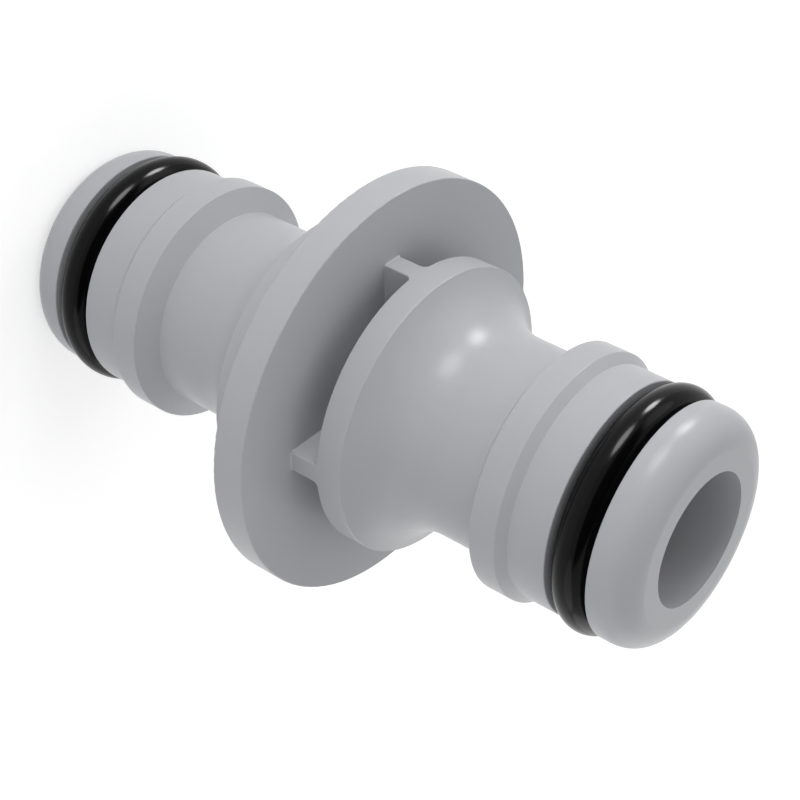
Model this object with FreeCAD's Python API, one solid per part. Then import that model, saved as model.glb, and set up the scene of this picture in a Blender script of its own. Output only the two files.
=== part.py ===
"""Double male quick-connect coupler for garden hose: one moulded body and two O-rings.

The part stands on the end face of its lower plug. The origin is the centre of that face, +Z runs
along the bore, and the upper plug mirrors the lower one about the stop flange. Millimetres.
"""
import FreeCAD
import Part
import math
import os

from FreeCAD import Vector

# Stop flange, halfway along, that both sockets push up against
STOP_FLANGE_R = 14.43
STOP_FLANGE_THICKNESS = 2.36

# Small flange on each side of it, and the ribbed gap between the two
SMALL_FLANGE_R = 9.935
SMALL_FLANGE_THICKNESS = 1.89
GAP_WIDTH = 2.12
GAP_HUB_R = 6.0
RIB_COUNT = 4
RIB_THICKNESS = 1.4
RIB_FIRST_DEG = 45.0

# Flare from the small flange down to the neck, steepest at the flange
NECK_R = 6.95
NECK_LENGTH = 3.7
FLARE_STEEPNESS_DEG = 67.0
FLARE_LIP = 0.2

# Locking collar that the socket's claws hold, its two faces leaning back from flat
COLLAR_R = 8.465
COLLAR_WIDTH = 1.87
COLLAR_BACK_LEAN_DEG = 30.5
COLLAR_FRONT_LEAN_DEG = 46.3

# Shank and nose, one diameter with the seal groove between them
BARREL_R = 7.92
SHANK_LENGTH = 2.7
NOSE_LAND = 0.83
NOSE_ROUND_R = 2.0

# O-ring, how far it stands out of the barrel, and its groove
RING_CORD_DIAMETER = 2.6
RING_PROUD = 0.39
RING_FLOOR_CLEARANCE = 0.03
RING_SIDE_CLEARANCE = 0.17

# Bore, straight through, thinnest walled under the groove
GROOVE_WALL = 1.18

# Radii that the mould leaves on outer edges, and at the two ends of each rib
EDGE_R = 0.08
RIB_FILLET_R = 0.4
RIB_FOOT_R = 0.1

# O-ring and groove sizes
RING_CORD_R = RING_CORD_DIAMETER / 2
RING_CENTRE_R = BARREL_R + RING_PROUD - RING_CORD_R
GROOVE_FLOOR_R = RING_CENTRE_R - RING_CORD_R - RING_FLOOR_CLEARANCE
GROOVE_WIDTH = RING_CORD_DIAMETER + 2 * RING_SIDE_CLEARANCE
BORE_R = GROOVE_FLOOR_R - GROOVE_WALL

# The flare is one arc, tangent to the neck and to a short straight lip at the small flange
FLARE_RISE = SMALL_FLANGE_R - NECK_R
FLARE_STEEPNESS = math.radians(FLARE_STEEPNESS_DEG)
FLARE_ARC_R = (FLARE_RISE / math.sin(FLARE_STEEPNESS) - FLARE_LIP) / math.tan(FLARE_STEEPNESS / 2)
FLARE_TO_CORNER = FLARE_RISE / math.tan(FLARE_STEEPNESS)
FLARE_RUN = FLARE_TO_CORNER + FLARE_ARC_R * math.tan(FLARE_STEEPNESS / 2)

# Runs of the collar's two sloping faces along the axis
COLLAR_BACK_RUN = (COLLAR_R - NECK_R) * math.tan(math.radians(COLLAR_BACK_LEAN_DEG))
COLLAR_FRONT_RUN = (COLLAR_R - BARREL_R) * math.tan(math.radians(COLLAR_FRONT_LEAN_DEG))

# Distances from the middle of the stop flange, out along one plug
STOP_FACE = STOP_FLANGE_THICKNESS / 2
SMALL_FLANGE_BACK = STOP_FACE + GAP_WIDTH
SMALL_FLANGE_FRONT = SMALL_FLANGE_BACK + SMALL_FLANGE_THICKNESS
FLARE_CORNER = SMALL_FLANGE_FRONT + FLARE_TO_CORNER
NECK_END = SMALL_FLANGE_FRONT + FLARE_RUN + NECK_LENGTH
COLLAR_BACK = NECK_END + COLLAR_BACK_RUN
COLLAR_FRONT = COLLAR_BACK + COLLAR_WIDTH
SHANK_START = COLLAR_FRONT + COLLAR_FRONT_RUN
GROOVE_BACK = SHANK_START + SHANK_LENGTH
RING_MIDDLE = GROOVE_BACK + GROOVE_WIDTH / 2
GROOVE_FRONT = GROOVE_BACK + GROOVE_WIDTH
PLUG_END = GROOVE_FRONT + NOSE_LAND + NOSE_ROUND_R

AXIS = Vector(0, 0, 1)
MIDDLE = Vector(0, 0, PLUG_END)

# How closely an edge has to lie to a size to be picked by it, and the points it is tested at
TOLERANCE = 0.005
EDGE_SAMPLES = 5


def rounded_outline(corners):
    """Closed wire in the XZ plane through (radius, height, rounding) corners, rounded by tangent arcs."""
    points = [Vector(radius, 0, height) for radius, height, rounding in corners]
    edges = []
    starts = []
    ends = []
    for index, here in enumerate(points):
        rounding = corners[index][2]
        to_last = (points[index - 1] - here).normalize()
        to_next = (points[(index + 1) % len(points)] - here).normalize()
        half_angle = to_last.getAngle(to_next) / 2
        tangent = rounding / math.tan(half_angle)
        starts.append(here + to_last * tangent)
        ends.append(here + to_next * tangent)
        if rounding > 0:
            bisector = (to_last + to_next).normalize()
            crest = here + bisector * (rounding / math.sin(half_angle) - rounding)
            edges.append(Part.Arc(starts[-1], crest, ends[-1]).toShape())
    for index, end in enumerate(ends):
        edges.append(Part.LineSegment(end, starts[(index + 1) % len(starts)]).toShape())
    return Part.Wire(Part.__sortEdges__(edges))


def plug_corners():
    """Corners of one plug's outline, from the stop flange out to the nose, as distances from the middle."""
    return [
        (STOP_FLANGE_R, STOP_FACE, EDGE_R),
        (SMALL_FLANGE_R, STOP_FACE, 0),
        (SMALL_FLANGE_R, SMALL_FLANGE_FRONT, EDGE_R),
        (NECK_R, FLARE_CORNER, FLARE_ARC_R),
        (NECK_R, NECK_END, 0),
        (COLLAR_R, COLLAR_BACK, EDGE_R),
        (COLLAR_R, COLLAR_FRONT, EDGE_R),
        (BARREL_R, SHANK_START, 0),
        (BARREL_R, GROOVE_BACK, EDGE_R),
        (GROOVE_FLOOR_R, GROOVE_BACK, 0),
        (GROOVE_FLOOR_R, GROOVE_FRONT, 0),
        (BARREL_R, GROOVE_FRONT, EDGE_R),
        (BARREL_R, PLUG_END, NOSE_ROUND_R),
        (BORE_R, PLUG_END, 0),
    ]


def turned_body():
    """The body as turned about the bore, with the gaps beside the stop flange still full."""
    upper = [(radius, PLUG_END + distance, rounding) for radius, distance, rounding in plug_corners()]
    lower = [(radius, PLUG_END - distance, rounding) for radius, distance, rounding in plug_corners()]
    outline = rounded_outline(upper + lower[::-1])
    return Part.Face(outline).revolve(Vector(0, 0, 0), AXIS, 360)


def gap_pockets():
    """The spaces between the ribs of the upper gap, rounded where the ribs run into the small flange."""
    base = PLUG_END + STOP_FACE
    base_point = Vector(0, 0, base)
    ring = Part.makeCylinder(STOP_FLANGE_R, GAP_WIDTH, base_point)
    ring = ring.cut(Part.makeCylinder(GAP_HUB_R, GAP_WIDTH, base_point))
    rib = Part.makeBox(STOP_FLANGE_R, RIB_THICKNESS, GAP_WIDTH, Vector(0, -RIB_THICKNESS / 2, base))
    for index in range(RIB_COUNT):
        turned_rib = rib.copy()
        turned_rib.rotate(Vector(0, 0, 0), AXIS, RIB_FIRST_DEG + index * 360 / RIB_COUNT)
        ring = ring.cut(turned_rib)
    pockets = []
    for pocket in ring.Solids:
        heads = [edge for edge in pocket.Edges if edge.Curve.TypeId == "Part::GeomLine"
                 and abs(edge.CenterOfMass.z - base - GAP_WIDTH) < TOLERANCE]
        pockets.append(pocket.makeFillet(RIB_FILLET_R, heads))
    return pockets


def edges_between(body, low_radius, high_radius, low_distance, high_distance):
    """Edges of the body within these distances of the bore's axis and of the part's middle."""
    found = []
    for edge in body.Edges:
        radii = [math.hypot(point.x, point.y) for point in edge.discretize(EDGE_SAMPLES)]
        distance = abs(edge.CenterOfMass.z - PLUG_END)
        inside = low_radius - TOLERANCE < min(radii) and max(radii) < high_radius + TOLERANCE
        if inside and low_distance - TOLERANCE < distance < high_distance + TOLERANCE:
            found.append(edge)
    return found


def round_gap_edges(body):
    """Break the outer edges of the small flanges and ribs, then fillet the ribs' feet on the stop flange."""
    outer_edges = edges_between(
        body, SMALL_FLANGE_R, SMALL_FLANGE_R, STOP_FACE + EDGE_R, SMALL_FLANGE_BACK)
    body = body.makeFillet(EDGE_R, outer_edges)
    face_edges = edges_between(body, GAP_HUB_R, SMALL_FLANGE_R, STOP_FACE, STOP_FACE)
    hub_edges = edges_between(body, GAP_HUB_R, GAP_HUB_R, STOP_FACE, STOP_FACE)
    foot_edges = [edge for edge in face_edges if not any(edge.isSame(hub) for hub in hub_edges)]
    return body.makeFillet(RIB_FOOT_R, foot_edges)


def coupler_body():
    """One moulding: both plugs, the flanges and the ribs between them, with the bore through it."""
    body = turned_body()
    for pocket in gap_pockets():
        body = body.cut(pocket)
        body = body.cut(pocket.mirror(MIDDLE, AXIS))
    return round_gap_edges(body.removeSplitter())


def o_ring(height):
    """A round-section rubber ring at this height, resting just clear of its groove floor."""
    return Part.makeTorus(RING_CENTRE_R, RING_CORD_R, Vector(0, 0, height), AXIS)


os.makedirs("parts", exist_ok=True)
nodes = {
    "coupler_body": coupler_body(),
    "upper_o_ring": o_ring(PLUG_END + RING_MIDDLE),
    "lower_o_ring": o_ring(PLUG_END - RING_MIDDLE),
}
for name, shape in nodes.items():
    shape.exportStep("parts/" + name + ".step")
    print(name, "volume", round(shape.Volume, 2), "valid", shape.isValid(), "solids", len(shape.Solids))
print("overall length", round(2 * PLUG_END, 3), "bore radius", round(BORE_R, 3))
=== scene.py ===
"""Double male hose coupler in grey moulded plastic with two black O-rings, on a pale studio floor."""
import math

import bpy
import numpy as np
from mathutils import Matrix, Vector


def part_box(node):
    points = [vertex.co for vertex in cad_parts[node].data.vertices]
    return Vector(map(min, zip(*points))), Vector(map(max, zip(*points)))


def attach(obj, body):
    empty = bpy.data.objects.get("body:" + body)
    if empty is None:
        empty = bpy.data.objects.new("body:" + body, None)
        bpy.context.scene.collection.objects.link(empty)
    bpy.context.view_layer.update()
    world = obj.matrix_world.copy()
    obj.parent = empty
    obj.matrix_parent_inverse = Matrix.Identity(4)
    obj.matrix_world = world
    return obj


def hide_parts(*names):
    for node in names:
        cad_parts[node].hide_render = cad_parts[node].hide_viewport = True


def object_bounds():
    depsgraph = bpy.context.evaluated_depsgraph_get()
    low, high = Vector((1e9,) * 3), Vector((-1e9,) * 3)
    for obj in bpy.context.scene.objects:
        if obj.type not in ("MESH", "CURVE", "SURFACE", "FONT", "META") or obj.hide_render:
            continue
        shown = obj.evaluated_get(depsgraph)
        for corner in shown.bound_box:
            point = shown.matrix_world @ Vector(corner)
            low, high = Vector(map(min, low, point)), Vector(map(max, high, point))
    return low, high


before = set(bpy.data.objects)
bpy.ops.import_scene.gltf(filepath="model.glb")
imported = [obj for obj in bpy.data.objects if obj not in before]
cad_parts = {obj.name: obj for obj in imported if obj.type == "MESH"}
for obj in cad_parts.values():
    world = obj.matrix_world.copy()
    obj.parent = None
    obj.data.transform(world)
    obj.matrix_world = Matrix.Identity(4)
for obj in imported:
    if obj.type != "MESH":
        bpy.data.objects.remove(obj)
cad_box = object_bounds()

# Coupler body
# One injection moulding in mid-grey ABS: two plugs back to back, with a stop flange, two small flanges and
# four ribs a side between them. It keeps its CAD mesh. The mould was finely spark eroded, so the surface
# is an even satin.

MM = 0.001
PLASTIC_GREY = "#B6B6BA"
PLASTIC_GREY_THIN = "#B1B3B6"
PLASTIC_ROUGHNESS_LOW = 0.27
PLASTIC_ROUGHNESS_HIGH = 0.33
PLASTIC_IOR = 1.5
PLASTIC_SPECULAR = 0.12
FLOW_WIDTH = 9.0 * MM

# The real grain is finer than a pixel, so it is drawn about two pixels wide
GRAIN_WIDTH = 0.12 * MM
GRAIN_DEPTH = 0.0015 * MM


def linear_colour(hex_colour):
    """sRGB hex to linear red, green, blue and 1: a 2.4 power above a short straight foot."""
    levels = [int(hex_colour[index:index + 2], 16) / 255 for index in (1, 3, 5)]
    curved = [level / 12.92 if level <= 0.04045 else ((level + 0.055) / 1.055) ** 2.4 for level in levels]
    return (*curved, 1.0)


def add_node(tree, kind, settings, inputs):
    """Adds a node of this kind, sets its settings, and gives each input a value or a link from a socket."""
    node = tree.nodes.new(kind)
    for name, value in settings.items():
        setattr(node, name, value)
    for name, value in inputs.items():
        if isinstance(value, bpy.types.NodeSocket):
            tree.links.new(value, node.inputs[name])
        else:
            node.inputs[name].default_value = value
    return node


def new_material(name):
    """An empty material with its output node, ready for a shader."""
    material = bpy.data.materials.new(name)
    material.use_nodes = True
    material.node_tree.nodes.clear()
    output = material.node_tree.nodes.new("ShaderNodeOutputMaterial")
    return material, material.node_tree, output


def moulded_abs():
    """Satin moulded ABS: soft broad highlights over an even grey, with slow flow shades from the gate."""
    material, tree, output = new_material("moulded_grey_abs")
    place = add_node(tree, "ShaderNodeTexCoord", {}, {}).outputs["Object"]
    flow = add_node(tree, "ShaderNodeTexNoise", {}, {
        "Vector": place, "Scale": 1 / FLOW_WIDTH, "Detail": 3.0, "Roughness": 0.5})
    grain = add_node(tree, "ShaderNodeTexNoise", {}, {
        "Vector": place, "Scale": 1 / GRAIN_WIDTH, "Detail": 2.0, "Roughness": 0.6})
    colour = add_node(tree, "ShaderNodeMix", {"data_type": "RGBA"}, {
        "Factor": flow.outputs["Fac"],
        "A": linear_colour(PLASTIC_GREY), "B": linear_colour(PLASTIC_GREY_THIN)})
    gloss = add_node(tree, "ShaderNodeMapRange", {}, {
        "Value": grain.outputs["Fac"],
        "To Min": PLASTIC_ROUGHNESS_LOW, "To Max": PLASTIC_ROUGHNESS_HIGH})
    relief = add_node(tree, "ShaderNodeBump", {}, {
        "Height": grain.outputs["Fac"], "Strength": 1.0, "Distance": GRAIN_DEPTH})
    shader = add_node(tree, "ShaderNodeBsdfPrincipled", {}, {
        "Base Color": colour.outputs["Result"], "Roughness": gloss.outputs["Result"],
        "IOR": PLASTIC_IOR, "Specular IOR Level": PLASTIC_SPECULAR, "Normal": relief.outputs["Normal"]})
    tree.links.new(shader.outputs["BSDF"], output.inputs["Surface"])
    return material


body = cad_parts["coupler_body"]
body.data.materials[0] = moulded_abs()

# O-rings
# Two compression-moulded NBR rings, one stretched into each seal groove, wiped with silicone grease.
# Each is a fine torus that stands for its CAD ring, at the size and height of that ring's box.

RUBBER_BLACK = "#060607"
RUBBER_IOR = 1.52
RUBBER_SPECULAR = 0.11
GREASE_WIDTH = 1.6 * MM
GREASE_ROUGHNESS_LOW = 0.15
GREASE_ROUGHNESS_HIGH = 0.19
RING_STEPS_ROUND = 288
RING_STEPS_CORD = 72


def ring_mesh(name, centre_radius, cord_radius, height):
    """A torus on a grid of two angles: out from the axis by R + r cos v at angle u, and up by r sin v."""
    around = np.linspace(0, 2 * np.pi, RING_STEPS_ROUND, endpoint=False)
    across = np.linspace(0, 2 * np.pi, RING_STEPS_CORD, endpoint=False)
    u, v = np.meshgrid(around, across, indexing="ij")
    out = centre_radius + cord_radius * np.cos(v)
    points = np.stack([out * np.cos(u), out * np.sin(u), height + cord_radius * np.sin(v)], axis=-1)
    index = np.arange(u.size).reshape(u.shape)
    next_round = np.roll(index, -1, axis=0)
    next_cord = np.roll(index, -1, axis=1)
    both = np.roll(next_round, -1, axis=1)
    faces = np.stack([index, next_round, both, next_cord], axis=-1)
    mesh = bpy.data.meshes.new(name)
    mesh.from_pydata(points.reshape(-1, 3).tolist(), [], faces.reshape(-1, 4).tolist())
    mesh.shade_smooth()
    return mesh


def greased_rubber():
    """NBR rubber under a film of grease: near black, with long bright streaks along the cord."""
    material, tree, output = new_material("nbr_rubber_black")
    place = add_node(tree, "ShaderNodeTexCoord", {}, {}).outputs["Object"]
    film = add_node(tree, "ShaderNodeTexNoise", {}, {
        "Vector": place, "Scale": 1 / GREASE_WIDTH, "Detail": 2.0, "Roughness": 0.5})
    gloss = add_node(tree, "ShaderNodeMapRange", {}, {
        "Value": film.outputs["Fac"],
        "To Min": GREASE_ROUGHNESS_LOW, "To Max": GREASE_ROUGHNESS_HIGH})
    shader = add_node(tree, "ShaderNodeBsdfPrincipled", {}, {
        "Base Color": linear_colour(RUBBER_BLACK), "Roughness": gloss.outputs["Result"],
        "IOR": RUBBER_IOR, "Specular IOR Level": RUBBER_SPECULAR})
    tree.links.new(shader.outputs["BSDF"], output.inputs["Surface"])
    return material


rubber = greased_rubber()
for node in ("upper_o_ring", "lower_o_ring"):
    low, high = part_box(node)
    cord_radius = (high.z - low.z) / 2
    mesh = ring_mesh(node + "_rubber", high.x - cord_radius, cord_radius, (low.z + high.z) / 2)
    mesh.materials.append(rubber)
    ring = bpy.data.objects.new(node + "_rubber", mesh)
    bpy.context.scene.collection.objects.link(ring)
    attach(ring, "root")
    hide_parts(node)

# Studio floor
# A wide flat sheet of matt white paper that the coupler stands on. The camera and gloss see it lifted to
# nearly white, and it keeps the object's shadow.

FLOOR_HALF = 2.0
FLOOR_WHITE = "#F4F4F4"
FLOOR_LIFT = 0.42


def seen_rays(tree):
    """1 for rays of the camera, of gloss and of clear materials, 0 for those that light matt surfaces."""
    rays = add_node(tree, "ShaderNodeLightPath", {}, {})
    camera_or_gloss = add_node(tree, "ShaderNodeMath", {"operation": "MAXIMUM"}, {
        0: rays.outputs["Is Camera Ray"], 1: rays.outputs["Is Glossy Ray"]})
    seen = add_node(tree, "ShaderNodeMath", {"operation": "MAXIMUM"}, {
        0: camera_or_gloss.outputs["Value"], 1: rays.outputs["Is Transmission Ray"]})
    return seen.outputs["Value"]


def matt_paper():
    """Matt white paper, lifted for the rays of the camera and of gloss so that it reads as white."""
    material, tree, output = new_material("matt_white_paper")
    lift = add_node(tree, "ShaderNodeMath", {"operation": "MULTIPLY"}, {0: seen_rays(tree), 1: FLOOR_LIFT})
    paper = add_node(tree, "ShaderNodeBsdfDiffuse", {}, {"Color": linear_colour(FLOOR_WHITE)})
    glow = add_node(tree, "ShaderNodeEmission", {}, {"Strength": lift.outputs["Value"]})
    both = add_node(tree, "ShaderNodeAddShader", {}, {0: paper.outputs["BSDF"], 1: glow.outputs["Emission"]})
    tree.links.new(both.outputs["Shader"], output.inputs["Surface"])
    return material


floor_mesh = bpy.data.meshes.new("studio_floor")
floor_z = cad_box[0][2]
floor_mesh.from_pydata(
    [(x * FLOOR_HALF, y * FLOOR_HALF, floor_z) for x, y in ((-1, -1), (1, -1), (1, 1), (-1, 1))],
    [], [(0, 1, 2, 3)])
floor_mesh.materials.append(matt_paper())
studio_floor = bpy.data.objects.new("studio_floor", floor_mesh)
bpy.context.scene.collection.objects.link(studio_floor)

# Black flag
# A sheet of black felt on a curved frame, high on the camera's side. Gloss reflects it, so the rings stay
# deep black between their streaks. It is out of sight and takes no light from the matt surfaces.

FLAG_DISTANCE = 1.0
FLAG_FROM_DEG = 195
FLAG_TO_DEG = 345
FLAG_LOW_DEG = 25
FLAG_HIGH_DEG = 84
FLAG_STEPS = 24
FELT_BLACK = "#101010"


def flag_mesh():
    """A patch of a sphere about the part's foot: out from the axis by D cos b at turn a, up by D sin b."""
    turns = np.radians(np.linspace(FLAG_FROM_DEG, FLAG_TO_DEG, FLAG_STEPS))
    rises = np.radians(np.linspace(FLAG_LOW_DEG, FLAG_HIGH_DEG, FLAG_STEPS))
    a, b = np.meshgrid(turns, rises, indexing="ij")
    points = FLAG_DISTANCE * np.stack([np.cos(b) * np.cos(a), np.cos(b) * np.sin(a), np.sin(b)], axis=-1)
    index = np.arange(a.size).reshape(a.shape)
    faces = np.stack([index[:-1, :-1], index[:-1, 1:], index[1:, 1:], index[1:, :-1]], axis=-1)
    mesh = bpy.data.meshes.new("black_flag")
    mesh.from_pydata(points.reshape(-1, 3).tolist(), [], faces.reshape(-1, 4).tolist())
    return mesh


def black_felt():
    """Dull black felt, which gives gloss a dark side to reflect."""
    material, tree, output = new_material("black_felt")
    felt = add_node(tree, "ShaderNodeBsdfDiffuse", {}, {"Color": linear_colour(FELT_BLACK)})
    tree.links.new(felt.outputs["BSDF"], output.inputs["Surface"])
    return material


black_flag = bpy.data.objects.new("black_flag", flag_mesh())
black_flag.data.materials.append(black_felt())
black_flag.visible_camera = False
black_flag.visible_diffuse = False
black_flag.visible_shadow = False
bpy.context.scene.collection.objects.link(black_flag)

# Studio light
# The room is a plain soft grey where it lights matt surfaces, and white to the camera and to gloss. Oval
# softboxes stand round the coupler, each aimed at its middle. The two catch lights show in gloss only, as
# the streaks on the rings and noses.

ROOM_LEVEL = 0.735
WHITE_LEVEL = 1.0

middle = (Vector(cad_box[0]) + Vector(cad_box[1])) / 2


def room_light():
    """An even world: grey for what lights matt surfaces, white where the camera and gloss see it."""
    world = bpy.data.worlds.new("studio_room")
    world.use_nodes = True
    tree = world.node_tree
    tree.nodes.clear()
    output = tree.nodes.new("ShaderNodeOutputWorld")
    level = add_node(tree, "ShaderNodeMapRange", {}, {
        "Value": seen_rays(tree), "To Min": ROOM_LEVEL, "To Max": WHITE_LEVEL})
    glow = add_node(tree, "ShaderNodeBackground", {}, {"Strength": level.outputs["Result"]})
    tree.links.new(glow.outputs["Background"], output.inputs["Surface"])
    bpy.context.scene.world = world


def softbox(name, azimuth_deg, distance, centre_height, width, height, watts, lights_matt=True):
    """An oval area lamp at this distance from the bore's axis, turned to look at the object's middle."""
    azimuth = math.radians(azimuth_deg)
    place = Vector((math.cos(azimuth) * distance, math.sin(azimuth) * distance, centre_height))
    lamp = bpy.data.lights.new(name, "AREA")
    lamp.shape = "ELLIPSE"
    lamp.size = width
    lamp.size_y = height
    lamp.energy = watts
    box = bpy.data.objects.new(name, lamp)
    box.visible_diffuse = lights_matt
    box.rotation_euler = (place - middle).to_track_quat("Z", "Y").to_euler()
    box.location = place
    bpy.context.scene.collection.objects.link(box)


room_light()
softbox("small_catch_light", azimuth_deg=187, distance=0.16, centre_height=0.028,
        width=0.050, height=0.042, watts=0.22, lights_matt=False)
softbox("long_catch_light", azimuth_deg=227, distance=0.201, centre_height=0.046,
        width=0.105, height=0.075, watts=0.25, lights_matt=False)
softbox("long_key", azimuth_deg=226, distance=0.20, centre_height=0.044,
        width=0.110, height=0.078, watts=0.135)
softbox("back_fill", azimuth_deg=68, distance=0.60, centre_height=0.16,
        width=0.90, height=0.30, watts=0.62)
softbox("top_fill", azimuth_deg=180, distance=0.50, centre_height=0.32,
        width=0.40, height=0.30, watts=0.36)
softbox("side_fill", azimuth_deg=0, distance=0.40, centre_height=0.10,
        width=0.40, height=0.19, watts=0.19)

# Camera
# It looks down on the standing coupler from the front and is rolled well over, so that the bore's axis
# runs to the picture's lower right. Distance, aim and focal length give the photograph's perspective.

CAMERA_AZIMUTH_DEG = 0.5
CAMERA_ELEVATION_DEG = 30.226
CAMERA_ROLL_DEG = 116.483
CAMERA_DISTANCE = 136.328 * MM
AIM_RIGHT = 1.435 * MM
AIM_DOWN = 1.278 * MM
SENSOR_WIDTH_MM = 36.0
PICTURE_WIDTH_PX = 800
FOCAL_LENGTH_PX = 2076.8
CLIP_START = 10 * MM

turn = math.radians(CAMERA_AZIMUTH_DEG)
rise = math.radians(CAMERA_ELEVATION_DEG)
towards_camera = Vector((math.sin(turn) * math.cos(rise), -math.cos(turn) * math.cos(rise), math.sin(rise)))
upright = towards_camera.to_track_quat("Z", "Y").to_matrix()
rolled = upright @ Matrix.Rotation(math.radians(CAMERA_ROLL_DEG), 3, "Z")
picture_right = rolled.col[0]
picture_up = rolled.col[1]
aim = middle + picture_right * AIM_RIGHT - picture_up * AIM_DOWN
lens = bpy.data.cameras.new("studio_camera")
lens.sensor_width = SENSOR_WIDTH_MM
lens.lens = FOCAL_LENGTH_PX / PICTURE_WIDTH_PX * SENSOR_WIDTH_MM
lens.clip_start = CLIP_START
camera = bpy.data.objects.new("studio_camera", lens)
camera.matrix_world = Matrix.Translation(aim + towards_camera * CAMERA_DISTANCE) @ rolled.to_4x4()
bpy.context.scene.collection.objects.link(camera)
bpy.context.scene.camera = camera
bpy.context.scene.view_settings.view_transform = "Standard"
